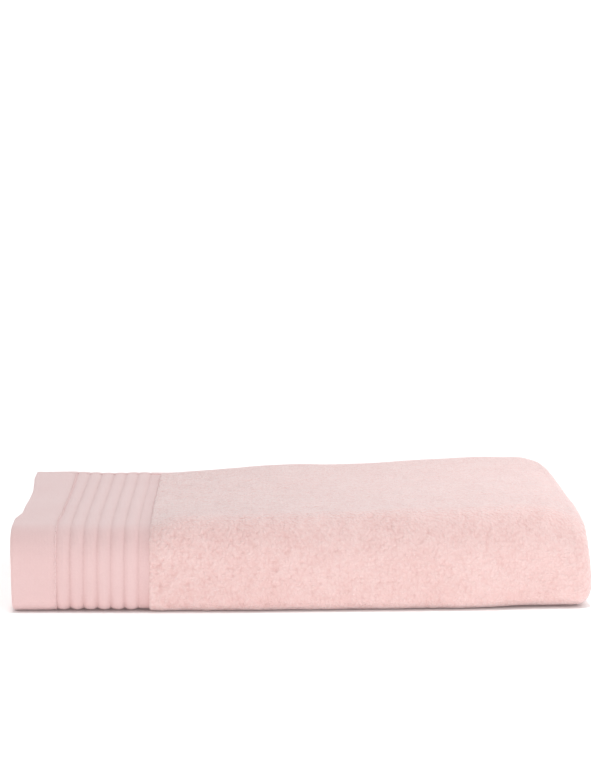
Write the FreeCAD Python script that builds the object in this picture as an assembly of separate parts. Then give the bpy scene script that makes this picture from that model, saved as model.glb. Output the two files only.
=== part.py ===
# Folded bath towel: one terry cloth, folded crosswise in half twice and then lengthwise in thirds.
#
# Millimetres, +Z up. The origin is the centre of the pack's footprint, on the surface it rests on.
# +X runs along the folded length, from the end with the hems to the end with the crosswise bends,
# and -Y points to the front bend. The crosswise folds give a stack of four layers. It is drawn once,
# as faces in the XZ plane, where "depth" is the distance in from the stack's outer side. The faces
# are then run through the lengthwise folds: bottom panel, rear bend, inner panel, front bend and top
# panel. The base keeps the bottom panel, the rear bend and the inner panel; the front fold is the
# front bend alone; the flap is the top panel, which lifts and unrolls over the front.

import FreeCAD, Part
import math
import os

# Driving dimensions
pack_length = 350.0
pack_depth = 250.0
pile_thickness = 4.6
rib_thickness = 3.4
groove_thickness = 1.8
stripe_thickness = 2.4
end_hem_thickness = 3.8
side_hem_thickness = 3.4
seam_thickness = 3.0
end_hem_width = 27.0
side_hem_width = 9.0
seam_width = 1.0
seam_setback = 1.5
rib_count = 6
rib_pitch = 8.2
stripe_width = 7.0
hem_stagger = 3.0
first_bend_inset = 5.0
label_width = 32.0
label_length = 40.0
label_thickness = 0.5
label_from_hem_end = 120.0
label_drop = 1.0
loop_width = 10.0
loop_length = 34.0
tape_thickness = 0.8
loop_from_hem_end = 14.0

# Clearances
layer_gap = 0.25
panel_gap = 0.4
inner_edge_gap = 1.5
rear_bend_gap = 0.3
tape_gap = 0.2

# The four layers of the stack, by the depth of each one's middle
layer_pitch = pile_thickness + layer_gap
stack_thickness = 3 * layer_pitch + pile_thickness
hem_b_depth = pile_thickness / 2
hem_a_depth = hem_b_depth + layer_pitch
inner_run_depth = hem_a_depth + layer_pitch
outer_run_depth = inner_run_depth + layer_pitch

# Places along X
left_end = -pack_length / 2
right_end = pack_length / 2
border_width = rib_count * rib_pitch + stripe_width
pile_start = end_hem_width + seam_width + border_width
right_bend_x = right_end - stack_thickness / 2
first_bend_x = left_end + first_bend_inset + layer_pitch / 2 + pile_thickness / 2
outer_bend_radius = (outer_run_depth - hem_b_depth) / 2
tight_bend_radius = layer_pitch / 2

# Places along Y and Z
pack_height = 3 * stack_thickness + 2 * panel_gap
front_radius = pack_height / 2
rear_radius = stack_thickness + panel_gap / 2
loop_depth = 2 * tape_thickness + tape_gap
rear_edge_y = pack_depth / 2 - loop_depth
front_axis_y = -pack_depth / 2 + front_radius
rear_axis_y = rear_edge_y - rear_bend_gap - rear_radius
bottom_panel_run = rear_axis_y - front_axis_y
hem_and_seam = side_hem_width + seam_width
inner_panel_run = bottom_panel_run - inner_edge_gap - hem_and_seam
top_panel_run = rear_edge_y - front_axis_y - hem_and_seam

X_AXIS = FreeCAD.Vector(1, 0, 0)
front_axis = FreeCAD.Vector(0, front_axis_y, front_radius)
rear_axis = FreeCAD.Vector(0, rear_axis_y, rear_radius)


def point(place):
    """A place (x, depth) on the plane where the front bend begins, under its axis."""
    x, depth = place
    return FreeCAD.Vector(x, front_axis_y, depth)


def line(start, end):
    return Part.LineSegment(point(start), point(end)).toShape()


def arc(start, middle, end):
    return Part.Arc(point(start), point(middle), point(end)).toShape()


def lines(*places):
    """Straight edges from place to place."""
    return [line(a, b) for a, b in zip(places, places[1:])]


def half_turn(x, start_depth, end_depth, side):
    """A half circle about x that bulges to the side +1 (right) or -1 (left)."""
    radius = abs(end_depth - start_depth) / 2
    middle = (x + side * radius, (start_depth + end_depth) / 2)
    return arc((x, start_depth), middle, (x, end_depth))


def face_of(edges):
    return Part.Face(Part.Wire(Part.__sortEdges__(edges)))


def cloth_face(thickness, hem_b_x, hem_a_x):
    """The whole cloth through its crosswise bends, from hem_b_x to hem_a_x."""
    half = thickness / 2
    b_face = hem_b_depth - half
    b_back = hem_b_depth + half
    a_face = hem_a_depth - half
    a_back = hem_a_depth + half
    inner_face = inner_run_depth - half
    inner_back = inner_run_depth + half
    outer_face = outer_run_depth - half
    outer_back = outer_run_depth + half
    edges = [
        line((hem_b_x, b_face), (right_bend_x, b_face)),
        half_turn(right_bend_x, b_face, outer_back, 1),
        line((right_bend_x, outer_back), (first_bend_x, outer_back)),
        half_turn(first_bend_x, outer_back, inner_face, -1),
        line((first_bend_x, inner_face), (right_bend_x, inner_face)),
        half_turn(right_bend_x, inner_face, a_back, 1),
        line((right_bend_x, a_back), (hem_a_x, a_back)),
        line((hem_a_x, a_back), (hem_a_x, a_face)),
        line((hem_a_x, a_face), (right_bend_x, a_face)),
        half_turn(right_bend_x, a_face, inner_back, 1),
        line((right_bend_x, inner_back), (first_bend_x, inner_back)),
        half_turn(first_bend_x, inner_back, outer_face, -1),
        line((first_bend_x, outer_face), (right_bend_x, outer_face)),
        half_turn(right_bend_x, outer_face, b_back, 1),
        line((right_bend_x, b_back), (hem_b_x, b_back)),
        line((hem_b_x, b_back), (hem_b_x, b_face)),
    ]
    return face_of(edges)


def end_hem_face(edge_x, depth):
    """The turned hem across the towel's end, with a rounded outer edge."""
    half = end_hem_thickness / 2
    nose_x = edge_x + half
    end_x = edge_x + end_hem_width
    nose = half_turn(nose_x, depth + half, depth - half, -1)
    sides = lines((nose_x, depth - half), (end_x, depth - half), (end_x, depth + half), (nose_x, depth + half))
    return face_of([nose] + sides)


def seam_face(edge_x, depth):
    """The row of stitches that holds an end hem down."""
    half = seam_thickness / 2
    start_x = edge_x + end_hem_width
    end_x = start_x + seam_width
    corners = [(start_x, depth - half), (end_x, depth - half), (end_x, depth + half), (start_x, depth + half)]
    return face_of(lines(*corners, corners[0]))


def border_face(edge_x, depth):
    """The woven border: rounded ribs on both sides of the cloth, then a flat stripe."""
    groove = groove_thickness / 2
    crest = rib_thickness / 2
    flat = stripe_thickness / 2
    start_x = edge_x + end_hem_width + seam_width
    ribs_end_x = start_x + rib_count * rib_pitch
    end_x = ribs_end_x + stripe_width
    edges = []
    for rib in range(rib_count):
        rib_x = start_x + rib * rib_pitch
        next_x = rib_x + rib_pitch
        for side in (-1, 1):
            valley = depth + side * groove
            top = (rib_x + rib_pitch / 2, depth + side * crest)
            edges.append(arc((rib_x, valley), top, (next_x, valley)))
    edges += lines((start_x, depth - groove), (start_x, depth + groove))
    stripe = [(ribs_end_x, depth - groove), (ribs_end_x, depth - flat), (end_x, depth - flat)]
    stripe += [(end_x, depth + flat), (ribs_end_x, depth + flat), (ribs_end_x, depth + groove)]
    edges += lines(*stripe)
    return face_of(edges)


def along_y(distance):
    return FreeCAD.Vector(0, distance, 0)


def inner_panel_start(face):
    """The face where the rear bend ends and the inner panel begins."""
    return face.translated(along_y(bottom_panel_run)).rotated(rear_axis, X_AXIS, 180)


def top_panel_start(face):
    """The face where the front bend ends and the top panel begins."""
    return face.rotated(front_axis, X_AXIS, -180)


def base_solid(face):
    """Bottom panel, rear bend and inner panel, in one piece."""
    bottom = face.extrude(along_y(bottom_panel_run))
    rear_bend = face.translated(along_y(bottom_panel_run)).revolve(rear_axis, X_AXIS, 180)
    inner = inner_panel_start(face).extrude(along_y(-inner_panel_run))
    return bottom.fuse([rear_bend, inner])


def front_solid(face):
    """The front bend."""
    return face.revolve(front_axis, X_AXIS, -180)


def flap_solid(face):
    """The top panel."""
    return top_panel_start(face).extrude(along_y(top_panel_run))


def side_strips():
    """Hem and seam along the two side edges: the flap's, at the rear, and the inner panel's."""
    hem = cloth_face(side_hem_thickness, left_end, left_end + hem_stagger)
    seam = cloth_face(seam_thickness, left_end + seam_setback, left_end + hem_stagger + seam_setback)
    made = {}
    for name, face, start, width in (("seam", seam, 0.0, seam_width), ("hem", hem, seam_width, side_hem_width)):
        rear = top_panel_start(face).translated(along_y(top_panel_run + start))
        made["rear_side_" + name] = rear.extrude(along_y(width))
        inner = inner_panel_start(face).translated(along_y(-inner_panel_run - start))
        made["inner_side_" + name] = inner.extrude(along_y(-width))
    return made


def care_label():
    """A blank tape label, sewn to the top layer's rear edge and hanging behind the pack."""
    top_z = pack_height - hem_b_depth + side_hem_thickness / 2 - label_drop
    corner = FreeCAD.Vector(left_end + label_from_hem_end, rear_edge_y, top_z - label_length)
    return Part.makeBox(label_width, label_thickness, label_length, corner)


def hanging_loop():
    """A flat tape loop at the middle of the towel's long side, folded double at its lower end."""
    top_z = pack_height - inner_run_depth + side_hem_thickness / 2
    turn_z = top_z - loop_length + loop_depth / 2
    middle_y = rear_edge_y + loop_depth / 2
    x = left_end + loop_from_hem_end

    def at(offset, z):
        return FreeCAD.Vector(x, middle_y + offset, z)

    outer = loop_depth / 2
    inner = tape_gap / 2
    edges = [
        Part.LineSegment(at(-outer, top_z), at(-outer, turn_z)).toShape(),
        Part.Arc(at(-outer, turn_z), at(0, turn_z - outer), at(outer, turn_z)).toShape(),
        Part.LineSegment(at(outer, turn_z), at(outer, top_z)).toShape(),
        Part.LineSegment(at(outer, top_z), at(inner, top_z)).toShape(),
        Part.LineSegment(at(inner, top_z), at(inner, turn_z)).toShape(),
        Part.Arc(at(inner, turn_z), at(0, turn_z - inner), at(-inner, turn_z)).toShape(),
        Part.LineSegment(at(-inner, turn_z), at(-inner, top_z)).toShape(),
        Part.LineSegment(at(-inner, top_z), at(-outer, top_z)).toShape(),
    ]
    return face_of(edges).extrude(FreeCAD.Vector(loop_width, 0, 0))


def towel():
    """Every piece of the towel by its node's name."""
    hem_a_end = left_end + hem_stagger
    faces = {
        "terry": cloth_face(pile_thickness, left_end + pile_start, hem_a_end + pile_start),
        "outer_border": border_face(left_end, hem_b_depth),
        "outer_end_seam": seam_face(left_end, hem_b_depth),
        "outer_end_hem": end_hem_face(left_end, hem_b_depth),
        "inner_border": border_face(hem_a_end, hem_a_depth),
        "inner_end_seam": seam_face(hem_a_end, hem_a_depth),
        "inner_end_hem": end_hem_face(hem_a_end, hem_a_depth),
    }
    made = {}
    for name, face in faces.items():
        made[name + "_base"] = base_solid(face)
        made[name + "_front_fold"] = front_solid(face)
        made[name + "_flap"] = flap_solid(face)
    made.update(side_strips())
    made["care_label"] = care_label()
    made["hanging_loop"] = hanging_loop()
    return made


def report_sizes():
    """The unfolded cloth's size and the two hinge axes that unroll the flap."""
    straight = (right_bend_x - left_end) + (right_bend_x - left_end - hem_stagger)
    straight += 2 * (right_bend_x - first_bend_x)
    flat_length = straight + math.pi * (outer_bend_radius + 2 * tight_bend_radius)
    middle_radius = front_radius - stack_thickness / 2
    rear_middle_radius = rear_radius - stack_thickness / 2
    flat_width = bottom_panel_run + top_panel_run + inner_panel_run + 2 * hem_and_seam
    flat_width += math.pi * (middle_radius + rear_middle_radius)
    swing = math.pi / 4 * middle_radius
    print("towel laid flat", round(flat_width, 1), "x", round(flat_length, 1))
    print("pack", pack_length, "x", pack_depth, "x", round(pack_height, 2))
    print("hinge axes: y", round(front_axis_y - swing, 4))
    print("lower z", round(front_radius - swing, 4), "upper z", round(front_radius + swing, 4))


os.makedirs("parts", exist_ok=True)
for node, shape in towel().items():
    solids = shape.Solids
    if len(solids) != 1 or not shape.isValid():
        print("not one valid solid:", node, len(solids))
    shape.exportStep("parts/" + node + ".step")
report_sizes()
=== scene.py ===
import math

import bpy
import numpy as np
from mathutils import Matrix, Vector


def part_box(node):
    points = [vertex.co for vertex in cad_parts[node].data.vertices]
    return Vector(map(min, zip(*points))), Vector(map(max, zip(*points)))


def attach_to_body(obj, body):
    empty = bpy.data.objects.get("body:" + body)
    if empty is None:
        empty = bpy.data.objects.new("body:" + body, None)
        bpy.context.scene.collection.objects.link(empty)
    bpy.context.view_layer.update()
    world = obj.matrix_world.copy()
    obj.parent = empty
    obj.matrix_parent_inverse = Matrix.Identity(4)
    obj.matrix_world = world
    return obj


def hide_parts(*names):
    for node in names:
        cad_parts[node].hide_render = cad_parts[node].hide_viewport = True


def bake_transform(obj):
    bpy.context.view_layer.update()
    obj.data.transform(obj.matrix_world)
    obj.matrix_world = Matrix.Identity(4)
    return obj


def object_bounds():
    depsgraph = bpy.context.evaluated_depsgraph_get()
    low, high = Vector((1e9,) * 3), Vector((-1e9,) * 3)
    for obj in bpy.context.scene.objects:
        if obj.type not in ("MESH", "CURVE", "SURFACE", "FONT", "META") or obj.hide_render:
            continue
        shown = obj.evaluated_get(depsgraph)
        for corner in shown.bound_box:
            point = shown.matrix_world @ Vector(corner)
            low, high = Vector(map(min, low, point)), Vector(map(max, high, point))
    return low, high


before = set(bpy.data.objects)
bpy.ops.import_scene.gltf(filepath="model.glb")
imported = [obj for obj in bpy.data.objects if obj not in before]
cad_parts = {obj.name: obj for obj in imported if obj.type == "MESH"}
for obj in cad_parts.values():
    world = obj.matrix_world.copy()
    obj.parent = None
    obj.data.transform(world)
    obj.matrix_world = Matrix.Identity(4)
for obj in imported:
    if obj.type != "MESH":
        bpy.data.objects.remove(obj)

# A folded bath towel. The cloth is one surface with two coordinates, in metres: s runs along the towel's
# length, from the edge of the outer end hem to the edge of the inner one, and v runs across its width, from
# the rear side edge to the inner side edge. crosswise() folds s into the stack of four layers, lengthwise()
# folds v into the panels, and settle() gives the pack the soft, uneven shape of cloth.

MM = 0.001
cad_low, cad_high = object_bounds()


def ease(t):
    """From 0 to 1 as t does, level at both ends."""
    t = np.clip(t, 0, 1)
    return t * t * (3 - 2 * t)


def grow(t, start, length):
    """From 0 at the start to 1 at a length beyond it, level at both ends."""
    return ease((t - start) / length)


# ---------------------------------------------------------------- sizes, from the frame

LAYER_GAP = 0.25 * MM
SEAM = 1.0 * MM
STITCH_PITCH = 3.1 * MM
RIBS = 6
STRIPE_SHARE = 7.0 / 8.2  # the flat stripe's width, in ribs


def box_size(node):
    low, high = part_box(node)
    return high - low


left_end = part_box("outer_end_hem_flap")[0].x
inner_left_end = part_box("inner_end_hem_flap")[0].x
right_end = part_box("terry_flap")[1].x
pack_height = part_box("terry_front_fold")[1].z
stack = box_size("terry_flap").z
pile = (stack - 3 * LAYER_GAP) / 4
layer_pitch = pile + LAYER_GAP
end_hem = box_size("outer_end_hem_flap").x
border_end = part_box("outer_border_flap")[1].x - left_end
rib_half = box_size("outer_border_flap").z / 2
hem_half = box_size("outer_end_hem_flap").z / 2
side_hem = box_size("rear_side_hem").y
front_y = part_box("terry_front_fold")[1].y
front_radius = pack_height / 2
rear_radius = box_size("terry_base").z / 2
rear_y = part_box("terry_base")[1].y - rear_radius
rear_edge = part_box("rear_side_hem")[1].y
inner_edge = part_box("inner_side_hem")[0].y
side_hem_half = 1.7 * MM
pile_half = pile / 2
stripe_half = 1.25 * MM
groove_half = 0.96 * MM
first_groove_half = 1.20 * MM
seam_half = 1.58 * MM
rib_pitch = (border_end - end_hem - SEAM) / (RIBS + STRIPE_SHARE)
ribs_end = end_hem + SEAM + RIBS * rib_pitch

# ---------------------------------------------------------------- the crosswise folds

right_turn = right_end - stack / 2
left_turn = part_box("terry_flap")[0].x + layer_pitch / 2 + pile_half
depth_b = pile_half
depth_a = depth_b + layer_pitch
depth_inner = depth_a + layer_pitch
depth_outer = depth_inner + layer_pitch
wide = (depth_outer - depth_b) / 2
tight = layer_pitch / 2

# Each stretch: its length, and for a run (start x, depth, direction), or for a turn
# (centre x, centre depth, radius, side, start side in depth)
STRETCHES = [
    (right_turn - left_end, "run", (left_end, depth_b, 1)),
    (math.pi * wide, "turn", (right_turn, (depth_b + depth_outer) / 2, wide, 1, -1)),
    (right_turn - left_turn, "run", (right_turn, depth_outer, -1)),
    (math.pi * tight, "turn", (left_turn, (depth_inner + depth_outer) / 2, tight, -1, 1)),
    (right_turn - left_turn, "run", (left_turn, depth_inner, 1)),
    (math.pi * tight, "turn", (right_turn, (depth_a + depth_inner) / 2, tight, 1, 1)),
    (right_turn - inner_left_end, "run", (right_turn, depth_a, -1)),
]
S_MARKS = np.concatenate([[0.0], np.cumsum([stretch[0] for stretch in STRETCHES])])
S_END = S_MARKS[-1]


def crosswise(s, n):
    """(x, depth in the stack) of cloth at s, n out of its middle on its face side."""
    s, n = np.broadcast_arrays(s, n)
    x, depth = np.zeros(s.shape), np.zeros(s.shape)
    for start, (length, kind, facts) in zip(S_MARKS, STRETCHES):
        here = (s >= start) if start > 0 else np.ones(s.shape, bool)
        along, off = s[here] - start, n[here]
        if kind == "run":
            x0, d0, way = facts
            x[here] = x0 + way * along
            depth[here] = d0 - way * off
        else:
            xc, dc, radius, side, first = facts
            a = np.clip(along / radius, 0, math.pi)
            x[here] = xc + side * radius * np.sin(a) - first * off * np.sin(a)
            depth[here] = dc + first * radius * np.cos(a) - side * off * np.cos(a)
    return x, depth


# ---------------------------------------------------------------- the lengthwise folds

top_width = rear_edge - front_y
front_arc = math.pi * (front_radius - stack / 2)
bottom_width = rear_y - front_y
rear_arc = math.pi * (rear_radius - stack / 2)
inner_width = rear_y - inner_edge
V_MARKS = np.concatenate([[0.0], np.cumsum([top_width, front_arc, bottom_width, rear_arc, inner_width])])
V_END = V_MARKS[-1]
V_FRONT_MIDDLE = (V_MARKS[1] + V_MARKS[2]) / 2
V_BASE_CUT = V_MARKS[2] + 0.06


# how square the bends are: 2 is a circle, and more is squarer
WOVEN_BEND = 2.9  # the front bend's upper half where the border is woven
PILE_SOFTENS_BEND = 0.75  # how much less that is in the pile
SOFTENING_LENGTH = 0.14  # how far in from the border it has fallen so far
FLOOR_BEND = 7.0  # the front bend's lower half, flattened against the floor
REAR_BEND = 2.3


def squared(angle, power):
    """How much further out than a circle a rounded square of this power lies at an angle."""
    across, up = np.abs(np.sin(angle)), np.abs(np.cos(angle))
    return (across**power + up**power) ** (-1 / power)


def lengthwise(x, depth, v):
    """(y, z) of cloth at v, at a place along the stack and a depth in it."""
    x, depth, v = np.broadcast_arrays(x, depth, v)
    y, z = rear_edge - v, pack_height - depth
    turn = (v > V_MARKS[1]) & (v < V_MARKS[2])
    angle = (v[turn] - V_MARKS[1]) / (V_MARKS[2] - V_MARKS[1]) * math.pi
    upper = WOVEN_BEND - PILE_SOFTENS_BEND * ease((x[turn] - left_end - border_end) / SOFTENING_LENGTH)
    out = (front_radius - depth[turn]) * squared(angle, np.where(angle < math.pi / 2, upper, FLOOR_BEND))
    y[turn] = front_y - out * np.sin(angle)
    z[turn] = front_radius + out * np.cos(angle)
    bottom = (v >= V_MARKS[2]) & (v <= V_MARKS[3])
    y[bottom], z[bottom] = front_y + v[bottom] - V_MARKS[2], depth[bottom]
    turn = (v > V_MARKS[3]) & (v < V_MARKS[4])
    angle = (v[turn] - V_MARKS[3]) / (V_MARKS[4] - V_MARKS[3]) * math.pi
    out = (rear_radius - depth[turn]) * squared(angle, REAR_BEND)
    y[turn] = rear_y + out * np.sin(angle)
    z[turn] = rear_radius - out * np.cos(angle)
    inner = v >= V_MARKS[4]
    y[inner], z[inner] = rear_y - (v[inner] - V_MARKS[4]), 2 * rear_radius - depth[inner]
    return y, z


# ---------------------------------------------------------------- noise


def place_random(i, j, seed):
    """A repeatable number from 0 to 1 for each whole-number place."""
    h = np.sin(i * 127.1 + j * 311.7 + seed * 74.7) * 43758.5453
    return h - np.floor(h)


def wander(p, q, seed):
    """Smooth noise from -1 to 1 that changes over about one unit of p and q."""
    p, q = np.broadcast_arrays(np.asarray(p, float), np.asarray(q, float))
    i, j = np.floor(p), np.floor(q)
    a, b = p - i, q - j
    a, b = a * a * (3 - 2 * a), b * b * (3 - 2 * b)
    near = place_random(i, j, seed) * (1 - a) + place_random(i + 1, j, seed) * a
    far = place_random(i, j + 1, seed) * (1 - a) + place_random(i + 1, j + 1, seed) * a
    return 2 * (near * (1 - b) + far * b) - 1


def loop_tops(p, q, seed):
    """Rounded bumps, one for each loop of pile, from 0 in the valleys to 1 at the tops."""
    i, j = np.floor(p), np.floor(q)
    nearest = np.full(np.broadcast(p, q).shape, 9.0)
    for di in (-1, 0, 1):
        for dj in (-1, 0, 1):
            ci, cj = i + di, j + dj
            a = ci + 0.5 + 0.75 * (place_random(ci, cj, seed) - 0.5) - p
            b = cj + 0.5 + 0.75 * (place_random(ci, cj, seed + 1) - 0.5) - q
            size = 0.75 + 0.5 * place_random(ci, cj, seed + 2)  # no two loops alike
            nearest = np.minimum(nearest, (a * a + b * b) / (size * size))
    return np.clip(1 - nearest, 0, 1)


# ---------------------------------------------------------------- the settled pack


# In these functions along, back and rise are shares of the pack: from its left end to its right end, from
# its front to its rear, and from the floor to its top. grow() takes a share, where the change starts, and
# how much further on it is complete. Each wander() has its own spacing in metres, and its own seed.


def thickness(x, y, along, back, rise):
    """Height against the neatly folded pack's: less over the woven end, more in the pile and the bends."""
    front = 0.885 + 0.095 * grow(along, 0.225, 0.07) + 0.05 * grow(along, 0.35, 0.5)
    rear = 0.915 + 0.09 * grow(along, 0.22, 0.33) + 0.095 * grow(along, 0.55, 0.4)
    thick = front + (rear - front) * grow(back, 0.02, 0.33)
    coarse_waves = 0.008 * wander(x / 0.055 + 3.1, y / 0.07, 5)
    fine_waves = 0.005 * wander(x / 0.021, y / 0.03, 6)
    thick = thick + coarse_waves + fine_waves
    rounded_end = 0.11 * ease((along - 0.915 - 0.02 * back) / 0.08) * rise
    return thick - rounded_end


def floor_clearance(along, back, rise):
    """How high the front of the right end lies off the floor."""
    lift = 0.2 * MM * grow(along, 0.4, 0.35) + 0.9 * MM * grow(along, 0.74, 0.2)
    return lift * ease((0.4 - back) / 0.4) * (1 - 0.7 * rise)


def end_shift(x, v, along, back, rise):
    """x of the settled cloth: the ends slant and curve, and no panel lies quite square on the next."""
    panel = 1.4 * MM * wander(v / 0.09 + 0.4, 0.5, 11) * (0.3 + 0.7 * along)
    slant = -9.5 * MM * ease(along) * back * (0.35 + 0.65 * rise)
    low_down = 1 - 0.95 * grow(rise, 0.35, 0.5)
    bulge = 2.4 * MM * grow(along, 0.88, 0.12) * (1 - back) * low_down
    left_end_share = ease(1 - along / 0.12)
    between_corners = grow(back, 0.17, 0.1) * ease((0.95 - back) / 0.35)
    hollow = 3.4 * MM * left_end_share * between_corners * rise
    hollow = hollow + 1.3 * MM * left_end_share * (1 - rise) * (1 - back)
    return x + panel + slant + bulge + hollow


def front_shift(x, y, along, back, rise):
    """y of the settled cloth: the front sways, and recedes towards the right end."""
    sway = 1.2 * MM * wander(x / 0.09 + 7.3, rise * 0.8, 12) + 0.5 * MM * wander(x / 0.03, rise * 2, 13)
    recede = 7 * MM * grow(along, 0.35, 0.4) + 9 * MM * grow(along, 0.74, 0.24)
    recede = recede * (1 - back) ** 1.5
    return y + sway + recede


def settle(x, y, z, v):
    """Moves places of the neatly folded pack to those of the soft, settled one."""
    along = (x - left_end) / (right_end - left_end)
    back = (y - cad_low.y) / (cad_high.y - cad_low.y)
    rise = z / pack_height
    high = z * thickness(x, y, along, back, rise) + floor_clearance(along, back, rise)
    return end_shift(x, v, along, back, rise), front_shift(x, y, along, back, rise), high


RAGGED = 1.6 * MM  # how far the long edges of the inner layers stray from one another
INNER_EDGE_TUCK = 5.8 * MM  # how far the inner edge is pushed into the front bend
EDGE_REACH = 0.07  # how far in from a long edge its straying fades
TUCK_REACH = 0.12


def cloth(s, n, v):
    """Places of the cloth in the pack, one row for each."""
    x, depth = crosswise(s, n)
    depth, v = np.broadcast_arrays(depth, v)
    y, z = lengthwise(x, depth, v)
    ragged = RAGGED * wander(s / 0.19 + 0.7, 0.5, 71) * grow(s, S_MARKS[1], 0.06)
    y = y + ragged * (ease(1 - v / EDGE_REACH) + ease(1 - (V_END - v) / EDGE_REACH))
    wavy = 1 + 0.35 * wander(x / 0.05, 0.5, 72)
    y = y - INNER_EDGE_TUCK * wavy * ease(1 - (V_END - v) / TUCK_REACH)
    return np.stack(settle(x, y, z, v), axis=-1)


# ---------------------------------------------------------------- closed sheets of mixed fineness

STEP = 5  # fine cells along each side of a coarse one, unless a piece says otherwise


def stations(*spans):
    """Coarse stations through spans of (start, end, number of cells)."""
    parts = [np.linspace(a, b, cells + 1)[:-1] for a, b, cells in spans]
    return np.concatenate(parts + [[spans[-1][1]]])


def refine(coarse, step):
    """The coarse stations with the fine ones between them."""
    return np.interp(np.arange((len(coarse) - 1) * step + 1) / step, np.arange(len(coarse)), coarse)


def vertices_used(fine, step):
    """Which lattice points are vertices: all coarse corners, and every point of the fine cells."""
    used = np.zeros((fine.shape[0] * step + 1, fine.shape[1] * step + 1), bool)
    used[::step, ::step] = True
    for i, j in zip(*np.nonzero(fine)):
        used[i * step:(i + 1) * step + 1, j * step:(j + 1) * step + 1] = True
    return used


def numbered(used, first):
    """Vertex numbers of the lattice points used, from first on, and -1 for the others."""
    number = np.full(used.shape, -1)
    number[used] = first + np.arange(used.sum())
    return number


def fine_quads(number, fine, step):
    """Vertex numbers of the four corners of each fine cell's quads."""
    inside = np.repeat(np.repeat(fine, step, 0), step, 1)
    corners = (number[:-1, :-1], number[1:, :-1], number[1:, 1:], number[:-1, 1:])
    return np.stack([c[inside] for c in corners], axis=1)


def coarse_rings(number, fine, step):
    """Vertex numbers round each coarse cell, with those that finer neighbours add to its sides."""
    rings = []
    for i, j in zip(*np.nonzero(~fine)):
        a, b = i * step, j * step
        ring = [number[a + k, b] for k in range(step)]
        ring += [number[a + step, b + k] for k in range(step)]
        ring += [number[a + step - k, b + step] for k in range(step)]
        ring += [number[a, b + step - k] for k in range(step)]
        rings.append([int(n) for n in ring if n >= 0])
    return rings


def rim_walls(face, back, step):
    """Polygons that close the sheet's four sides, from the face's rim to the back's."""
    walls = []
    sides = ((face[:, 0], back[:, 0], 1), (face[:, -1], back[:, -1], -1))
    sides += ((face[0, :], back[0, :], -1), (face[-1, :], back[-1, :], 1))
    for side, (on_face, on_back, way) in enumerate(sides):
        for k in range(0, len(on_face) - 1, step):
            top = [int(n) for n in on_face[k:k + step + 1] if n >= 0]
            under = [int(n) for n in on_back[k:k + step + 1] if n >= 0]
            wall = top + under[::-1] if way > 0 else top[::-1] + under
            walls.append((side, wall))
    return walls


def lattice_normals(points):
    """Unit normals on the cloth's face side of a lattice of points."""
    along_s = np.gradient(points, axis=0)
    along_v = np.gradient(points, axis=1)
    normal = np.cross(along_v, along_s)
    return normal / np.maximum(np.linalg.norm(normal, axis=-1, keepdims=True), 1e-12)


def share(values, weights):
    """Places from 0 to 1 along a lattice's side, with more room where weights are larger."""
    room = np.concatenate([[0], np.cumsum(np.diff(values) * weights)])
    return room / room[-1]


# the layout for baking: bands of it for the face, for the back, and for each side's wall
FACE_BAND = (0.01, 0.70)
BACK_BAND = (0.72, 0.89)
WALL_BANDS = (0.905, 0.93, 0.955, 0.98)
WALL_HIGH = 0.012
FINE_ROOM_S, FINE_ROOM_V = 4, 2  # how much more room fine cells get


def bake_places(s, v, used, fine_face, step):
    """Where each vertex lies in the layout for baking."""
    weight_s = np.repeat(1 + FINE_ROOM_S * fine_face.any(axis=1), step)
    weight_v = np.repeat(1 + FINE_ROOM_V * fine_face.any(axis=0), step)
    room_s, room_v = np.meshgrid(share(s, weight_s), share(v, weight_v), indexing="ij")
    places = []
    for u, (low, high) in zip(used, (FACE_BAND, BACK_BAND)):
        places.append(np.stack([room_s[u], low + (high - low) * room_v[u]], -1))
    return np.concatenate(places)


def wall_corners(walls, points, bake, face_count):
    """For the corners of the walls in a row: each wall's flat normal, and places in the walls' bands."""
    normals, places = [], []
    for side, wall in walls:
        ring = points[wall]
        flat = np.cross(ring, np.roll(ring, -1, axis=0)).sum(axis=0)
        normals.append(np.broadcast_to(flat / max(np.linalg.norm(flat), 1e-15), ring.shape))
        on_back = np.array(wall) >= face_count
        along = bake[wall][:, 0]
        if side >= 2:
            low = np.where(on_back, BACK_BAND[0], FACE_BAND[0])
            high = np.where(on_back, BACK_BAND[1], FACE_BAND[1])
            along = (bake[wall][:, 1] - low) / (high - low)
        places.append(np.stack([along, WALL_BANDS[side] + on_back * WALL_HIGH], -1))
    return np.concatenate(normals), np.concatenate(places)


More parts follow.
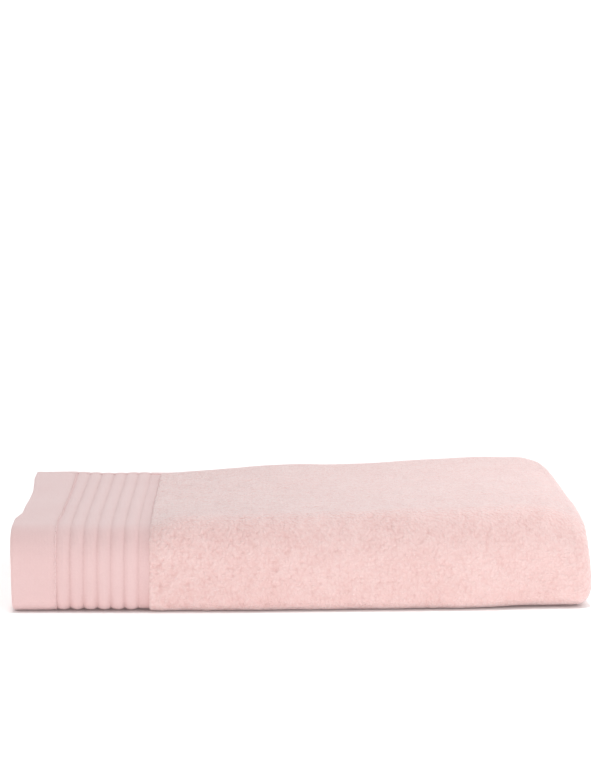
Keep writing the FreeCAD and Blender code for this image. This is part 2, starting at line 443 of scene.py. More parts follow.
def sheet_mesh(name, s, v, face, back, fine_face, shade_height, step=STEP):
    """A closed sheet through two lattices of places, on the fine stations s and v."""
    fine_back = np.zeros(fine_face.shape, bool)
    used = vertices_used(fine_face, step), vertices_used(fine_back, step)
    face_count = int(used[0].sum())
    on_face, on_back = numbered(used[0], 0), numbered(used[1], face_count)
    points = np.concatenate([face[used[0]], back[used[1]]])
    normals = np.concatenate([lattice_normals(face)[used[0]], -lattice_normals(back)[used[1]]])
    # the face's heights go to the pile attribute, from which the materials paint shade into low places; the
    # back gets an even middle value
    shade_heights = np.concatenate([shade_height[used[0]], np.full(used[1].sum(), 0.5)])
    grid_s, grid_v = np.meshgrid(s, v, indexing="ij")
    in_metres = np.concatenate([np.stack([grid_s, grid_v], -1)[u] for u in used])
    bake = bake_places(s, v, used, fine_face, step)

    quads = fine_quads(on_face, fine_face, step)[:, ::-1]
    rings = [ring[::-1] for ring in coarse_rings(on_face, fine_face, step)]
    rings += coarse_rings(on_back, fine_back, step)
    walls = rim_walls(on_face, on_back, step)
    polygons = rings + [wall for _, wall in walls]
    loops = np.concatenate([quads.ravel()] + [np.array(polygon) for polygon in polygons])
    sizes = np.concatenate([np.full(len(quads), 4), [len(polygon) for polygon in polygons]])
    wall_normals, wall_bake = wall_corners(walls, points, bake, face_count)
    before_walls = len(loops) - len(wall_normals)
    loop_normals = np.concatenate([normals[loops[:before_walls]], wall_normals])
    loop_bake = np.concatenate([bake[loops[:before_walls]], wall_bake])

    mesh = polygons_mesh(name, points, loops, sizes)
    mesh.attributes.new("pile", "FLOAT", "POINT").data.foreach_set("value", shade_heights.astype(np.float32))
    for layer, places in (("OFBake", loop_bake), ("cloth", in_metres[loops])):
        mesh.uv_layers.new(name=layer).data.foreach_set("uv", places.astype(np.float32).ravel())
    mesh.normals_split_custom_set(loop_normals.astype(np.float32))
    return mesh


def polygons_mesh(name, points, loops, sizes):
    """A smooth mesh from its places, its polygons' vertex numbers in a row, and their sizes."""
    mesh = bpy.data.meshes.new(name)
    mesh.vertices.add(len(points))
    mesh.vertices.foreach_set("co", np.asarray(points, np.float32).ravel())
    mesh.loops.add(len(loops))
    mesh.loops.foreach_set("vertex_index", np.asarray(loops, np.int32))
    mesh.polygons.add(len(sizes))
    starts = np.concatenate([[0], np.cumsum(sizes)[:-1]])
    mesh.polygons.foreach_set("loop_start", starts.astype(np.int32))
    mesh.polygons.foreach_set("use_smooth", np.ones(len(sizes), bool))
    mesh.update(calc_edges=True)
    return mesh


def add_piece(name, mesh, material):
    """A visible piece of one material."""
    piece = bpy.data.objects.new(name, mesh)
    bpy.context.scene.collection.objects.link(piece)
    mesh.materials.append(material)
    return piece


# ---------------------------------------------------------------- materials


class Nodes:
    """A new material's node tree, with short calls for the nodes that the fabrics share."""

    def __init__(self, name, **shader_values):
        self.material = bpy.data.materials.new(name)
        self.material.use_nodes = True
        self.tree = self.material.node_tree
        self.shader = self.tree.nodes["Principled BSDF"]
        for socket, value in shader_values.items():
            self.shader.inputs[socket.replace("_", " ")].default_value = value

    def add(self, kind, inputs=None, **settings):
        node = self.tree.nodes.new(kind)
        for key, value in settings.items():
            setattr(node, key, value)
        for socket, value in (inputs or {}).items():
            target = node.inputs[socket]
            if isinstance(value, bpy.types.NodeSocket):
                self.tree.links.new(value, target)
            else:
                target.default_value = value
        return node

    def math(self, operation, a, b=0.0):
        return self.add("ShaderNodeMath", {0: a, 1: b}, operation=operation).outputs[0]

    def total(self, *terms):
        """The sum of (value, weight) terms."""
        result = None
        for value, weight in terms:
            weighted = self.math("MULTIPLY", value, weight)
            result = weighted if result is None else self.math("ADD", result, weighted)
        return result

    # the surface's height, from the pile attribute; the fabrics darken their colour where it is low, which
    # is painted shade
    def shade_height(self):
        return self.add("ShaderNodeAttribute", attribute_name="pile").outputs["Fac"]

    def rest_place(self):
        return self.add("ShaderNodeTexCoord").outputs["Object"]

    def cloth_place(self):
        return self.add("ShaderNodeUVMap", uv_map="cloth").outputs["UV"]

    def noise(self, place, scale, detail):
        values = {"Vector": place, "Scale": scale, "Detail": detail, "Roughness": 0.5}
        return self.add("ShaderNodeTexNoise", values).outputs["Fac"]

    def soft_cells(self, place, scale, smoothness):
        values = {"Vector": place, "Scale": scale, "Smoothness": smoothness}
        return self.add("ShaderNodeTexVoronoi", values, feature="SMOOTH_F1").outputs["Distance"]

    def ramp(self, value, *stops):
        node = self.add("ShaderNodeValToRGB", {"Fac": value})
        elements = node.color_ramp.elements
        while len(elements) < len(stops):
            elements.new(0.5)
        for element, (position, colour) in zip(elements, stops):
            element.position = position
            element.color = (*colour, 1.0)
        return node.outputs["Color"]

    def bump(self, height, distance, strength, below=None):
        values = {"Height": height, "Distance": distance, "Strength": strength}
        if below is not None:
            values["Normal"] = below
        return self.add("ShaderNodeBump", values).outputs["Normal"]

    def finish(self, colour, normal):
        self.tree.links.new(colour, self.shader.inputs["Base Color"])
        self.tree.links.new(normal, self.shader.inputs["Normal"])
        return self.material


# In the fabrics' ramps, DEEP_PINK and WOVEN_DEEP are reached in the pile's valleys and the woven cloth's
# grooves, which is painted shade, and also where the tone is low at random
DEEP_PINK = (0.720, 0.410, 0.385)
PINK = (0.820, 0.530, 0.505)
LIGHT_PINK = (0.880, 0.625, 0.600)
WOVEN_DEEP = (0.705, 0.440, 0.425)
WOVEN = (0.800, 0.540, 0.530)
WOVEN_LIGHT = (0.845, 0.600, 0.590)
THREAD_LIGHT = (0.880, 0.670, 0.660)
TAPE_WHITE = (0.97, 0.93, 0.90)
TAPE_SHADE = (0.90, 0.85, 0.82)


SHEEN_TINT = (1.0, 0.97, 0.97, 1.0)


# In the materials, scales are in pieces for each metre and bump distances in metres.


def terry_material():
    """Looped cotton pile: mottled by its loops, with painted shade between them and in the pile's valleys,
    partly the pile's deeper dye there, and a soft fibre sheen.
    """
    n = Nodes("looped pile", Roughness=0.95, Sheen_Weight=0.76, Sheen_Roughness=0.5)
    n.shader.inputs["Sheen Tint"].default_value = SHEEN_TINT
    place = n.rest_place()
    loops = n.math("SUBTRACT", 1.0, n.soft_cells(place, scale=620.0, smoothness=0.4))
    fibres = n.noise(place, scale=1500.0, detail=2.0)
    drift = n.noise(place, scale=28.0, detail=3.0)
    # the pile's height and the loops darken the valleys between the loops: painted shade, partly the pile's
    # deeper dye; fibres and drift vary the tone at random
    tone = n.total((n.shade_height(), 0.55), (loops, 0.22), (fibres, 0.22), (drift, 0.16))
    colour = n.ramp(tone, (0.36, DEEP_PINK), (0.58, PINK), (0.80, LIGHT_PINK))
    normal = n.bump(loops, distance=0.0012, strength=0.55)
    normal = n.bump(fibres, distance=0.0006, strength=0.6, below=normal)
    return n.finish(colour, normal)


def woven_material(name, yarns):
    """Flat woven cotton with fine yarns across the towel, in yarns for each metre."""
    n = Nodes(name, Roughness=0.85, Sheen_Weight=0.5, Sheen_Roughness=0.5)
    n.shader.inputs["Sheen Tint"].default_value = SHEEN_TINT
    axes = n.add("ShaderNodeSeparateXYZ", {"Vector": n.cloth_place()})
    weft = n.math("SINE", n.math("MULTIPLY", axes.outputs["X"], yarns * math.tau))
    warp = n.math("SINE", n.math("MULTIPLY", axes.outputs["Y"], yarns * 0.8 * math.tau))
    weave = n.total((n.math("MULTIPLY", weft, warp), 0.3), (weft, 0.2))
    solid = n.rest_place()
    slub = n.noise(solid, scale=900.0, detail=3.0)
    drift = n.noise(solid, scale=35.0, detail=3.0)
    # the height darkens the colour in the border's grooves and the hems' thin places: painted shade
    tone = n.total((slub, 0.30), (drift, 0.25), (weave, 0.10), (n.shade_height(), 0.30))
    colour = n.ramp(tone, (0.10, WOVEN_DEEP), (0.45, WOVEN), (0.78, WOVEN_LIGHT))
    normal = n.bump(weave, distance=0.00022, strength=0.6)
    normal = n.bump(slub, distance=0.0003, strength=0.45, below=normal)
    return n.finish(colour, normal)


def thread_material():
    """Sewing thread, lighter and darker along its twist."""
    n = Nodes("sewing cotton", Roughness=0.6, Sheen_Weight=0.3, Sheen_Roughness=0.35)
    twist = n.noise(n.rest_place(), scale=2600.0, detail=1.0)
    colour = n.ramp(twist, (0.3, WOVEN), (0.7, THREAD_LIGHT))
    return n.finish(colour, n.bump(twist, distance=0.0002, strength=0.5))


def tape_material(name, dark, light, yarns):
    """Narrow woven tape with a fine diagonal twill."""
    n = Nodes(name, Roughness=0.62, Sheen_Weight=0.25, Sheen_Roughness=0.35)
    axes = n.add("ShaderNodeSeparateXYZ", {"Vector": n.cloth_place()})
    slant = n.math("ADD", axes.outputs["X"], axes.outputs["Y"])
    twill = n.math("SINE", n.math("MULTIPLY", slant, yarns * math.tau))
    slub = n.noise(n.rest_place(), scale=700.0, detail=2.0)
    ground = n.math("ADD", n.math("MULTIPLY", slub, 0.4), 0.3)
    tone = n.math("ADD", n.math("MULTIPLY", twill, 0.18), ground)
    colour = n.ramp(tone, (0.2, dark), (0.75, light))
    return n.finish(colour, n.bump(twill, distance=0.0002, strength=0.5))


TERRY = terry_material()
BORDER = woven_material("ribbed weave", yarns=1250.0)
HEM = woven_material("plain weave", yarns=1100.0)
THREAD = thread_material()
LABEL_TAPE = tape_material("label weave", TAPE_SHADE, TAPE_WHITE, yarns=1500.0)
LOOP_TAPE = tape_material("loop weave", WOVEN_DEEP, WOVEN_LIGHT, yarns=900.0)

# ---------------------------------------------------------------- thickness of each kind of cloth


def rounded(distance, width):
    """From 0 at an edge to 1 at width in from it, as a quarter circle."""
    t = np.clip(1 - distance / width, 0, 1)
    return np.sqrt(1 - t * t)


def terry_half(s, v):
    """Half the pile's thickness, lower at the edges of the pile."""
    from_border = np.minimum(s - border_end, S_END - border_end - s)
    from_hem = np.minimum(v - side_hem, V_END - side_hem - v)
    at_border = 0.60 + 0.40 * rounded(from_border, 3 * MM)
    at_hem = 0.72 + 0.28 * rounded(from_hem, 2.5 * MM)
    return pile_half * at_border * at_hem


STRIPE_RISE = 1.2 * MM  # how wide the slope from the last groove up to the flat stripe is
RIB_POWER = 0.7  # below 1 the ribs are fuller than a sine wave


def border_half(t):
    """Half the border's thickness, t in from the hem's edge: the seam's groove, ribs, a flat stripe."""
    phase = (t - end_hem - SEAM) / rib_pitch
    rib = np.abs(np.sin(np.clip(phase, 0, RIBS) * math.pi)) ** RIB_POWER
    bottom = np.where(phase < 0.5, first_groove_half, groove_half)
    ribbed = bottom + (rib_half - bottom) * rib
    after = np.clip((t - ribs_end) / STRIPE_RISE, 0, 1)
    flat = groove_half + (stripe_half - groove_half) * after
    down = np.clip((t - end_hem - 0.6 * SEAM) / (0.4 * SEAM), 0, 1)
    seam = seam_half + (first_groove_half - seam_half) * down
    return np.where(t < end_hem + SEAM, seam, np.where(t < ribs_end, ribbed, flat))


CORNER_SHARE = 0.76  # where in the front bend its lower corner is
PINCH = 0.55 * MM
PINCH_REACH = 6 * MM


def corner_pinch(t, v):
    """How far the grooves sink in where the ribs turn the tight corner on the floor."""
    groove = 1 - (border_half(t) - groove_half) / (rib_half - groove_half)
    corner = V_MARKS[1] + CORNER_SHARE * (V_MARKS[2] - V_MARKS[1])
    return PINCH * groove * np.exp(-(((v - corner) / PINCH_REACH) ** 2))


def puckered(half, from_seam, reach, sink, pucker, along):
    """A hem's half thickness, drawn in round its row of stitches."""
    near_seam = np.exp(-((from_seam / reach) ** 2))
    return half - near_seam * (sink + pucker * np.cos(along / STITCH_PITCH * math.tau))


def end_hem_half_at(t, v):
    """Half the end hem's thickness: a rounded turned edge, and puckers along its stitches."""
    half = hem_half * (0.10 + 0.90 * rounded(t, hem_half))
    return puckered(half, t - end_hem, 3.0 * MM, 0.38 * MM, 0.07 * MM, v)


SIDE_EDGE = 1.6 * MM  # how far in from its edges a side hem is rounded


def side_hem_half_at(s, inward):
    """Half a side hem's thickness, with the border's ribs running out into it."""
    from_end = np.minimum(s, S_END - s)
    half = side_hem_half * (0.12 + 0.88 * rounded(inward, SIDE_EDGE))
    half = half * (0.25 + 0.75 * rounded(from_end, SIDE_EDGE))
    half = puckered(half, inward - side_hem + SEAM, 1.6 * MM, 0.35 * MM, 0.08 * MM, s)
    in_ribs = (from_end > end_hem) & (from_end < ribs_end)
    return half + (border_half(from_end) - rib_half) * 0.7 * in_ribs


# ---------------------------------------------------------------- pieces of cloth

V_STATIONS = stations(
    (side_hem, V_MARKS[1], 33),
    (V_MARKS[1], V_FRONT_MIDDLE, 8),
    (V_FRONT_MIDDLE, V_MARKS[2], 8),
    (V_MARKS[2], V_BASE_CUT, 7),
    (V_BASE_CUT, V_MARKS[3], 12),
    (V_MARKS[3], V_MARKS[4], 8),
    (V_MARKS[4], V_END - side_hem, 20),
)
# Each group of pieces: its start and end in v, and the ending of the CAD nodes' names that it stands for.
GROUPS = {
    "top": (side_hem, V_FRONT_MIDDLE, "flap"),
    "front": (V_FRONT_MIDDLE, V_BASE_CUT, "front_fold"),
    "base": (V_BASE_CUT, V_END - side_hem, "base"),
}


def attach(piece, group):
    """Joins a piece of the base group to its body; pieces of the top and front groups keep their places in
    the world.
    """
    if group == "top":
        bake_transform(piece)
    elif group == "front":
        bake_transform(piece)
    else:
        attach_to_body(piece, "base")


MEAN_HEIGHT = 0.62
PILE_RELIEF = 1.15 * MM
TUCKED_RELIEF = 0.45 * MM  # of layers that lie on others
DRIFT_RELIEF = 0.14 * MM


def pile_relief(s, v, hidden):
    """(offset along the normal, height from 0 to 1) of the pile's surface. The height also sets the painted
    shade in the pile's valleys.
    """
    loops = loop_tops(s / (2.4 * MM), v / (2.2 * MM), 21)
    tufts = wander(s / (4.0 * MM), v / (3.6 * MM), 31)
    drift = wander(s / (13 * MM), v / (11 * MM), 41)
    height = np.clip(0.58 * loops + 0.27 * (tufts + 1) / 2 + 0.15 * (drift + 1) / 2, 0, 1)
    # pressed flatter away from the border
    height = MEAN_HEIGHT + (height - MEAN_HEIGHT) * (1 - 0.38 * grow(s, 0.04, 0.26))
    shown = (height - MEAN_HEIGHT) * PILE_RELIEF + DRIFT_RELIEF * drift
    tucked = (height - 1.0) * TUCKED_RELIEF
    return np.where(hidden, tucked, shown), height


def weave_relief(s, v, half):
    """(offset, tone) of woven cloth: slight unevenness, and painted shade, darker in the grooves."""
    coarse = wander(s / (6 * MM), v / (14 * MM), 51) * 0.05 * MM
    fine = wander(s / (1.7 * MM), v / (3 * MM), 52) * 0.04 * MM
    # low in the grooves, where the colour is darkened: painted shade
    tone = np.clip((half - groove_half) / (rib_half - groove_half), 0, 1)
    return coarse + fine, tone


def fine_where(s_stations, v_stations, wanted):
    """Coarse cells whose middle the function wanted(s, v) picks."""
    s = (s_stations[:-1] + s_stations[1:]) / 2
    v = (v_stations[:-1] + v_stations[1:]) / 2
    return wanted(s[:, None], v[None, :])


BACK_SHARE = 0.97  # the cloth's back lies a little nearer to its middle than its face


def make_cloth(kind, node, s_stations, half_at, relief, material, wanted, step=STEP):
    """The pieces of one kind of cloth, one for each body group, that stand for a kind of node."""
    s, v = refine(s_stations, step), refine(V_STATIONS, step)
    grid_s, grid_v = s[:, None], v[None, :]
    half = np.broadcast_to(half_at(grid_s, grid_v), (len(s), len(v)))
    offset, height = relief(grid_s, grid_v, half)
    face = cloth(grid_s, half, grid_v)
    face = face + lattice_normals(face) * offset[..., None]
    back = cloth(grid_s, -half * BACK_SHARE, grid_v)
    fine = fine_where(s_stations, V_STATIONS, wanted)
    for group, (start, end, body) in GROUPS.items():
        first, last = (int(np.argmin(np.abs(V_STATIONS - edge))) for edge in (start, end))
        cells, points = slice(first, last), slice(first * step, last * step + 1)
        name = kind + "_" + group
        lattices = face[:, points], back[:, points]
        mesh = sheet_mesh(name, s, v[points], *lattices, fine[:, cells], height[:, points], step)
        piece = add_piece(name, mesh, material)
        attach(piece, group)
        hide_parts(node + "_" + body)


def exposed(s, v):
    """Outside faces that show at rest: top, front bend, rear bend, and the bends at both ends."""
    outer_layer = s < S_MARKS[1]
    turned = (s > S_MARKS[1]) & (s < S_MARKS[2])
    first_bend = (s > S_MARKS[3]) & (s < S_MARKS[4])
    up_or_round = (v < V_MARKS[2]) | ((v > V_MARKS[3]) & (v < V_MARKS[4]))
    return (outer_layer & up_or_round) | turned | first_bend


def opened(s, v):
    """Faces that show once the flap is open: the flap's underside and the inner panel's top."""
    under_flap = (s > S_MARKS[2]) & (s < S_MARKS[3]) & (v < V_MARKS[2])
    return under_flap | ((s < S_MARKS[1]) & (v > V_MARKS[4]))


def woven_shown(s, v):
    """Where the woven ends show, at rest or once the flap is open."""
    return (exposed(s, v) | opened(s, v)) & (s < S_MARKS[1])


TERRY_STEP = 7  # finer than the woven cloth, for its loops


def make_terry():
    """The pile: the outer layer with its bend at the right end, and the three layers inside it."""
    outer = stations(
        (border_end, border_end + 2 * MM, 1),
        (border_end + 2 * MM, S_MARKS[1], 40),
        (S_MARKS[1], S_MARKS[2], 5),
    )
    inside = stations(
        (S_MARKS[2], S_MARKS[3], 28),
        (S_MARKS[3], S_MARKS[4], 3),
        (S_MARKS[4], S_MARKS[5], 28),
        (S_MARKS[5], S_MARKS[6], 4),
        (S_MARKS[6], S_END - border_end, 20),
    )

    def relief(s, v, half):
        return pile_relief(s, v, ~exposed(s, v))

    def wanted(s, v):
        return exposed(s, v) | opened(s, v)

    make_cloth("terry", "terry", outer, terry_half, relief, TERRY, wanted, TERRY_STEP)
    make_cloth("terry_inside", "terry", inside, terry_half, relief, TERRY, wanted)


def from_outer(s):
    return s


def from_inner(s):
    return S_END - s


def from_rear(v):
    return v


def from_inside(v):
    return V_END - v


def make_border(kind, measure):
    """A border, where measure(s) is the distance from its own end's edge."""
    edges = [end_hem - 0.4 * MM, end_hem + SEAM]
    edges += [end_hem + SEAM + rib_pitch * (k + 1) / 2 for k in range(2 * RIBS)]
    edges += [ribs_end + STRIPE_RISE, (ribs_end + border_end) / 2, border_end + 0.6 * MM]
    s_stations = np.sort(measure(np.array(edges)))

    def half_at(s, v):
        return border_half(measure(s)) - corner_pinch(measure(s), v)

    make_cloth(kind, kind, s_stations, half_at, weave_relief, BORDER, woven_shown)


def make_end_hem(kind, measure):
    """An end hem: its edge is rounded, and its stitches pull it in."""
    edges = np.array([0, 0.3, 1.0, 2.2, 5, 9, 13, 17, 21, 24]) * MM
    s_stations = np.sort(measure(np.concatenate([edges, [end_hem]])))

    def half_at(s, v):
        return end_hem_half_at(measure(s), v)

    def relief(s, v, half):
        uneven, _ = weave_relief(s, v, half)
        # thin at the rounded edge and round the stitches, where the colour is darkened: painted shade
        return uneven, np.clip(half / hem_half, 0, 1)

    make_cloth(kind, kind, s_stations, half_at, relief, HEM, woven_shown)


SIDE_STATIONS = stations(
    (0, 2 * MM, 2),
    (2 * MM, border_end, 16),
    (border_end, S_MARKS[1], 40),
    (S_MARKS[1], S_MARKS[2], 6),
    (S_MARKS[2], S_MARKS[3], 40),
    (S_MARKS[3], S_MARKS[4], 4),
    (S_MARKS[4], S_MARKS[5], 40),
    (S_MARKS[5], S_MARKS[6], 4),
    (S_MARKS[6], S_END - 2 * MM, 40),
    (S_END - 2 * MM, S_END, 2),
)


def make_side_hem(name, node, measure, body):
    """A hem along a long edge, through the whole stack. measure(v) is the distance from that edge."""
    v_marks = np.array([0, 0.25, 0.8, 1.6, 3.2, 5.2, 7.2]) * MM
    v_marks = np.concatenate([v_marks, [side_hem + 0.5 * MM]])
    v_stations = np.sort(measure(v_marks))
    s, v = refine(SIDE_STATIONS, STEP), refine(v_stations, STEP)
    grid_s, grid_v = s[:, None], v[None, :]
    half = side_hem_half_at(grid_s, measure(grid_v))
    uneven, _ = weave_relief(grid_s, grid_v, half)
    face = cloth(grid_s, half, grid_v)
    face = face + lattice_normals(face) * uneven[..., None]
    back = cloth(grid_s, -half, grid_v)
    # only the rear hem's outer layer and its bend show
    shown = (SIDE_STATIONS[1:] <= S_MARKS[2] + MM) & (measure is from_rear)
    fine = np.repeat(shown[:, None], len(v_stations) - 1, axis=1)
    # thin at the edges, round the stitches and in the ribs' grooves, where the colour is darkened: painted
    # shade
    tone = np.clip(half / side_hem_half, 0, 1)
    piece = add_piece(name, sheet_mesh(name, s, v, face, back, fine, tone), HEM)
    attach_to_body(piece, body)
    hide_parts(node)


# ---------------------------------------------------------------- stitches

STITCH = np.array([2.35, 0.75, 0.55]) * MM  # length, width and height
STITCH_RINGS = 5
STITCH_SIDES = 6


def capsule(rings=STITCH_RINGS, sides=STITCH_SIDES):
    """A blunt-ended stitch one unit long, wide and high: (places, quads, its two ends)."""
    places = []
    for k in range(rings):
        t = k / (rings - 1)
        girth = math.sin(math.pi * (0.12 + 0.76 * t)) ** 0.6 / 2
        for m in range(sides):
            a = math.tau * m / sides
            places.append((t - 0.5, math.cos(a) * girth, math.sin(a) * girth))
    quads = []
    for k in range(rings - 1):
        for m in range(sides):
            n = (m + 1) % sides
            quads.append((k * sides + m, k * sides + n, (k + 1) * sides + n, (k + 1) * sides + m))
    ends = [tuple(range(sides))[::-1], tuple(range((rings - 1) * sides, rings * sides))]
    return np.array(places), quads, ends


def stitches(name, s, v, half, along_s):
    """A row of stitches on the cloth's face at each (s, v), long side along s or along v."""
    small = 0.2 * MM
    centre = cloth(s, half, v)
    out = cloth(s, half + small, v) - centre
    ahead = (cloth(s + small, half, v) if along_s else cloth(s, half, v + small)) - centre
    out = out / np.linalg.norm(out, axis=-1, keepdims=True)
    ahead = ahead / np.linalg.norm(ahead, axis=-1, keepdims=True)
    aside = np.cross(out, ahead)
    places, quads, ends = capsule()
    length, width, height = np.moveaxis((places * STITCH)[None, :, :, None], 2, 0)
    points = centre[:, None] + length * ahead[:, None] + width * aside[:, None]
    points = points + height * out[:, None]
    first = np.arange(len(s))[:, None] * len(places)
    loops = [(first + np.array(corners)[None, :]).ravel() for corners in quads + ends]
    sizes = [np.full(len(s), len(corners)) for corners in quads + ends]
    mesh = polygons_mesh(name, points.reshape(-1, 3), np.concatenate(loops), np.concatenate(sizes))
    return add_piece(name, mesh, THREAD)


def make_end_stitches(kind, measure):
    """The row that holds an end hem, one piece for each body group."""
    at = end_hem + 0.45 * SEAM
    for group, (start, end, body) in GROUPS.items():
        v = np.arange(start + STITCH_PITCH / 2, end, STITCH_PITCH)
        lean = 0.12 * MM * wander(v / STITCH_PITCH * 0.9, 0.3, 61)
        half = np.full(v.shape, seam_half + 0.08 * MM)
        piece = stitches(kind + "_" + group, measure(at) + lean, v, half, along_s=False)
        attach(piece, group)
        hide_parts(kind + "_" + body)


def make_side_stitches(name, node, measure, body):
    """The row that holds a side hem, along the whole cloth."""
    s = np.arange(STITCH_PITCH, S_END - STITCH_PITCH / 2, STITCH_PITCH)
    v = np.full(s.shape, measure(side_hem - SEAM))
    half = np.full(s.shape, side_hem_half - 0.30 * MM)
    piece = stitches(name, s, v, half, along_s=True)
    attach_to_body(piece, body)
    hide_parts(node)


# ---------------------------------------------------------------- label and loop


LINE_STEPS = 60
LINE_ROUNDINGS = 6
RIBBON_COLUMNS = 13


def smooth_line(corners):
    """(distance along, y, z) in even steps along a line through the corners, which it rounds off."""
    line = np.array(corners, float)
    marks = np.concatenate([[0], np.cumsum(np.linalg.norm(np.diff(line, axis=0), axis=1))])
    steps = np.linspace(0, marks[-1], LINE_STEPS)
    y, z = np.interp(steps, marks, line[:, 0]), np.interp(steps, marks, line[:, 1])
    for _ in range(LINE_ROUNDINGS):
        y[1:-1] = (y[:-2] + 2 * y[1:-1] + y[2:]) / 4
        z[1:-1] = (z[:-2] + 2 * z[1:-1] + z[2:]) / 4
    return steps, y, z


def ribbon_side(x, y, z, off):
    """Places of one big side of a tape: its middle line, widened and moved off along its normal."""
    along_y, along_z = np.gradient(y), np.gradient(z)
    size = np.hypot(along_y, along_z)
    side_y = y[:, None] + (along_z / size)[:, None] * off
    side_z = z[:, None] + (-along_y / size)[:, None] * off
    return np.stack([x, side_y, side_z], -1)


def slab_quads(rows, cols):
    """Quads of a closed slab whose two big sides are lattices of rows by cols places."""
    number = np.arange(rows * cols).reshape(rows, cols)
    corners = number[:-1, :-1], number[1:, :-1], number[1:, 1:], number[:-1, 1:]
    quad = np.stack(corners, -1).reshape(-1, 4)
    rim = np.concatenate([number[:, 0], number[-1, 1:], number[::-1, -1][1:], number[0, ::-1][1:-1]])
    after = np.roll(rim, -1)
    wall = np.stack([after, rim, rim + rows * cols, after + rows * cols], -1)
    return np.concatenate([quad, (quad + rows * cols)[:, ::-1], wall])


def ribbon(name, middle_line, width, thickness, material, node, body, lean):
    """A tape along a line of (y, z), from its sewn end on. It drifts by lean in x for each metre."""
    steps, y, z = smooth_line(middle_line)
    across = np.linspace(-0.5, 0.5, RIBBON_COLUMNS)
    rounding = 1 - 0.25 * np.abs(2 * across) ** 8
    ripple = 0.15 * MM * np.sin(across[None, :] * 5 + steps[:, None] * 130)
    low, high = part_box(node)
    x = (low.x + high.x) / 2 + across[None, :] * width + lean * steps[:, None]
    sides = []
    for side in (0.5, -0.5):
        off = side * thickness * rounding[None, :] + ripple
        sides.append(ribbon_side(x, y, z, off).reshape(-1, 3))
    quads = slab_quads(LINE_STEPS, RIBBON_COLUMNS)
    mesh = polygons_mesh(name, np.concatenate(sides), quads.ravel(), np.full(len(quads), 4))
    flat = np.stack(np.meshgrid(across * width, steps, indexing="xy"), -1).reshape(-1, 2)
    flat = np.concatenate([flat, flat])[quads.ravel()]
    mesh.uv_layers.new(name="cloth").data.foreach_set("uv", flat.astype(np.float32).ravel())
    piece = add_piece(name, mesh, material)
    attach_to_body(piece, body)
    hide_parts(node)


def sewn_under(node):
    """For a tape sewn under the rear hem: where it starts, where it leaves the hem, the y at which it hangs
    clear of all edges, and the z of its bottom."""
    low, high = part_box(node)
    middle = (low.x + high.x) / 2
    s = np.array([middle - left_end])
    start = cloth(s, -side_hem_half, np.array([4 * MM]))[0]
    edge = cloth(s, -0.8 * side_hem_half, np.array([0.0]))[0]
    hem = bpy.data.objects["rear_hem"].data
    places = np.empty(len(hem.vertices) * 3, np.float32)
    hem.vertices.foreach_get("co", places)
    places = places.reshape(-1, 3)
    near = np.abs(places[:, 0] - middle) < (high.x - low.x) / 2 + 2 * MM
    return start, edge, float(places[near, 1].max()), low.z


LABEL_THICK = 0.45 * MM
LOOP_THICK = 0.7 * MM


def make_label():
    """A blank label that hangs down from the rear hem."""
    start, edge, clear, bottom = sewn_under("care_label")
    line = [
        (start[1], start[2] - 0.5 * MM),
        (edge[1] - 0.5 * MM, edge[2] - 0.5 * MM),
        (clear + 0.3 * MM, edge[2] - 1.6 * MM),
        (clear + 0.8 * MM, edge[2] - 5 * MM),
        (clear + 1.0 * MM, (edge[2] + bottom) / 2),
        (clear + 0.8 * MM, bottom),
    ]
    width = box_size("care_label").x
    ribbon("label", line, width, LABEL_THICK, LABEL_TAPE, "care_label", "flap", lean=0.02)


def make_loop():
    """A loop of tape: down near the towel, round at the bottom, and up again to where it started."""
    start, edge, clear, bottom = sewn_under("hanging_loop")
    near, far = clear + 0.6 * MM, clear + 2.5 * MM
    line = [
        (start[1], start[2] - 1.2 * MM),
        (edge[1] - 0.5 * MM, edge[2] - 1.4 * MM),
        (near, edge[2] - 3.2 * MM),
        (near, bottom + 5 * MM),
        (near + 0.1 * MM, bottom + 1.5 * MM),
        ((near + far) / 2, bottom),
        (far - 0.1 * MM, bottom + 1.5 * MM),
        (far, bottom + 5 * MM),
        (far - 0.3 * MM, edge[2] - 4 * MM),
        (near + 0.2 * MM, edge[2] - 0.8 * MM),
        (edge[1] - 0.5 * MM, edge[2] - 0.3 * MM),
    ]
    width = box_size("hanging_loop").x
    ribbon("loop", line, width, LOOP_THICK, LOOP_TAPE, "hanging_loop", "flap", lean=-0.01)


# ---------------------------------------------------------------- stage, light and camera


FLOOR_SIZE = 400.0
FLOOR_GREY = (0.86, 0.86, 0.86, 1)
# a faint pink glow of the floor: painted bounce light from the towel in the shadow beneath it
FLOOR_BOUNCE_PINK = (1.0, 0.8, 0.8, 1)
FLOOR_BOUNCE_STRENGTH = 0.07
FLOOR_LAMP_STRENGTH = 1.4
FLOOR_LAMP_ANGLE = math.radians(8)


def make_floor():
    """A plain pale floor as far as the camera sees. It glows faintly pink: painted bounce light from the
    towel, which lightens and tints its contact shadow.
    """
    half = FLOOR_SIZE / 2
    corners = [(-half, -half, 0), (half, -half, 0), (half, half, 0), (-half, half, 0)]
    mesh = bpy.data.meshes.new("floor")
    mesh.from_pydata(corners, [], [(0, 1, 2, 3)])
    floor = bpy.data.objects.new("floor", mesh)
    bpy.context.scene.collection.objects.link(floor)
    n = Nodes("pale floor", Roughness=0.9)
    n.shader.inputs["Base Color"].default_value = FLOOR_GREY
    n.shader.inputs["Emission Color"].default_value = FLOOR_BOUNCE_PINK
    n.shader.inputs["Emission Strength"].default_value = FLOOR_BOUNCE_STRENGTH
    floor.data.materials.append(n.material)
    return floor


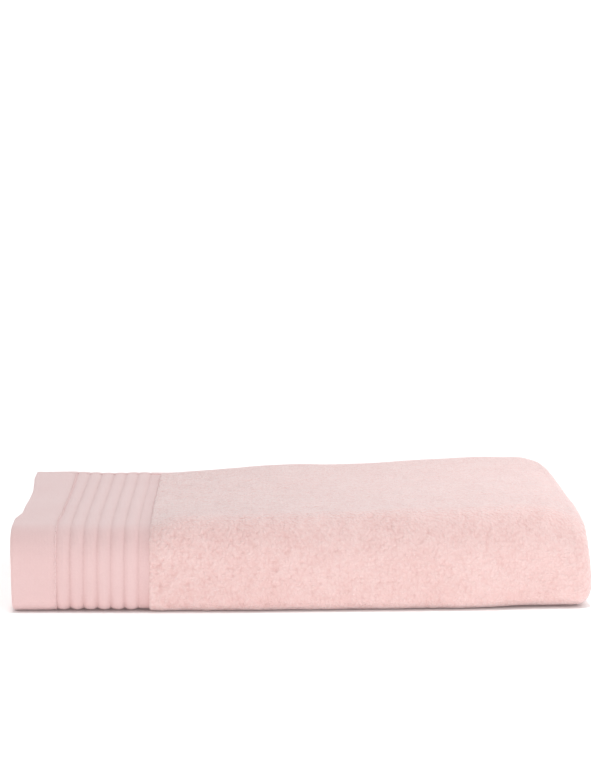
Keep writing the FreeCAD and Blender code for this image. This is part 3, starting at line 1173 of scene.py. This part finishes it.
def make_floor_lamp(floor):
    """A lamp straight above that only the floor receives, so that it stays white right up to the towel."""
    light = bpy.data.lights.new("floor_lamp", "SUN")
    light.energy = FLOOR_LAMP_STRENGTH
    light.angle = FLOOR_LAMP_ANGLE
    lamp = bpy.data.objects.new("floor_lamp", light)
    lamp.location = (0, 0, 1)
    bpy.context.scene.collection.objects.link(lamp)
    receivers = bpy.data.collections.new("floor only")
    receivers.objects.link(floor)
    lamp.light_linking.receiver_collection = receivers


SKY_AT_HORIZON = 1.0
SKY_ABOVE = 0.66


def make_sky():
    """An even white sky, a little brighter at the horizon."""
    world = bpy.data.worlds.new("soft studio")
    world.use_nodes = True
    tree = world.node_tree
    direction = tree.nodes.new("ShaderNodeTexCoord").outputs["Generated"]
    axes = tree.nodes.new("ShaderNodeSeparateXYZ")
    fade = tree.nodes.new("ShaderNodeMapRange")
    fade.inputs["To Min"].default_value = SKY_AT_HORIZON
    fade.inputs["To Max"].default_value = SKY_ABOVE
    tree.links.new(direction, axes.inputs["Vector"])
    tree.links.new(axes.outputs["Z"], fade.inputs["Value"])
    background = tree.nodes["Background"]
    background.inputs["Color"].default_value = (1, 1, 1, 1)
    tree.links.new(fade.outputs["Result"], background.inputs["Strength"])
    bpy.context.scene.world = world


WHITE = (1.0, 1.0, 1.0)
COOL_WHITE = (0.72, 0.97, 1.0)
# name, power in watts, size in metres, colour, place; each lamp points at the middle of the floor
LAMPS = (
    ("top_lamp", 0.59, 0.3, WHITE, (0.24, 0.02, 0.34)),
    ("front_lamp", 0.43, 0.4, COOL_WHITE, (0.22, -0.55, 0.15)),
)


def make_lamps():
    for name, power, size, colour, place in LAMPS:
        light = bpy.data.lights.new(name, "AREA")
        light.energy = power
        light.size = size
        light.color = colour
        lamp = bpy.data.objects.new(name, light)
        lamp.location = place
        lamp.visible_camera = False
        lamp.rotation_euler = (-Vector(place)).to_track_quat("-Z", "Y").to_euler()
        bpy.context.scene.collection.objects.link(lamp)


CAMERA_BACK = 2.40
CAMERA_HIGH = 0.391
CAMERA_PITCH = math.radians(6.345)
CAMERA_LENS = 178.5
CAMERA_REACH = 500.0


def make_camera():
    data = bpy.data.cameras.new("camera")
    data.lens = CAMERA_LENS
    data.clip_end = CAMERA_REACH
    camera = bpy.data.objects.new("camera", data)
    camera.location = (0.0, -CAMERA_BACK, CAMERA_HIGH)
    camera.rotation_euler = (math.pi / 2 - CAMERA_PITCH, 0, 0)
    bpy.context.scene.collection.objects.link(camera)
    bpy.context.scene.camera = camera


make_camera()
make_sky()
make_lamps()
make_floor_lamp(make_floor())
make_side_hem("rear_hem", "rear_side_hem", from_rear, "flap")
make_side_hem("inner_hem", "inner_side_hem", from_inside, "base")
make_side_stitches("rear_hem_stitches", "rear_side_seam", from_rear, "flap")
make_side_stitches("inner_hem_stitches", "inner_side_seam", from_inside, "base")
make_terry()
make_border("outer_border", from_outer)
make_border("inner_border", from_inner)
make_end_hem("outer_end_hem", from_outer)
make_end_hem("inner_end_hem", from_inner)
make_end_stitches("outer_end_seam", from_outer)
make_end_stitches("inner_end_seam", from_inner)
make_label()
make_loop()
bpy.context.scene.view_settings.view_transform = "Standard"
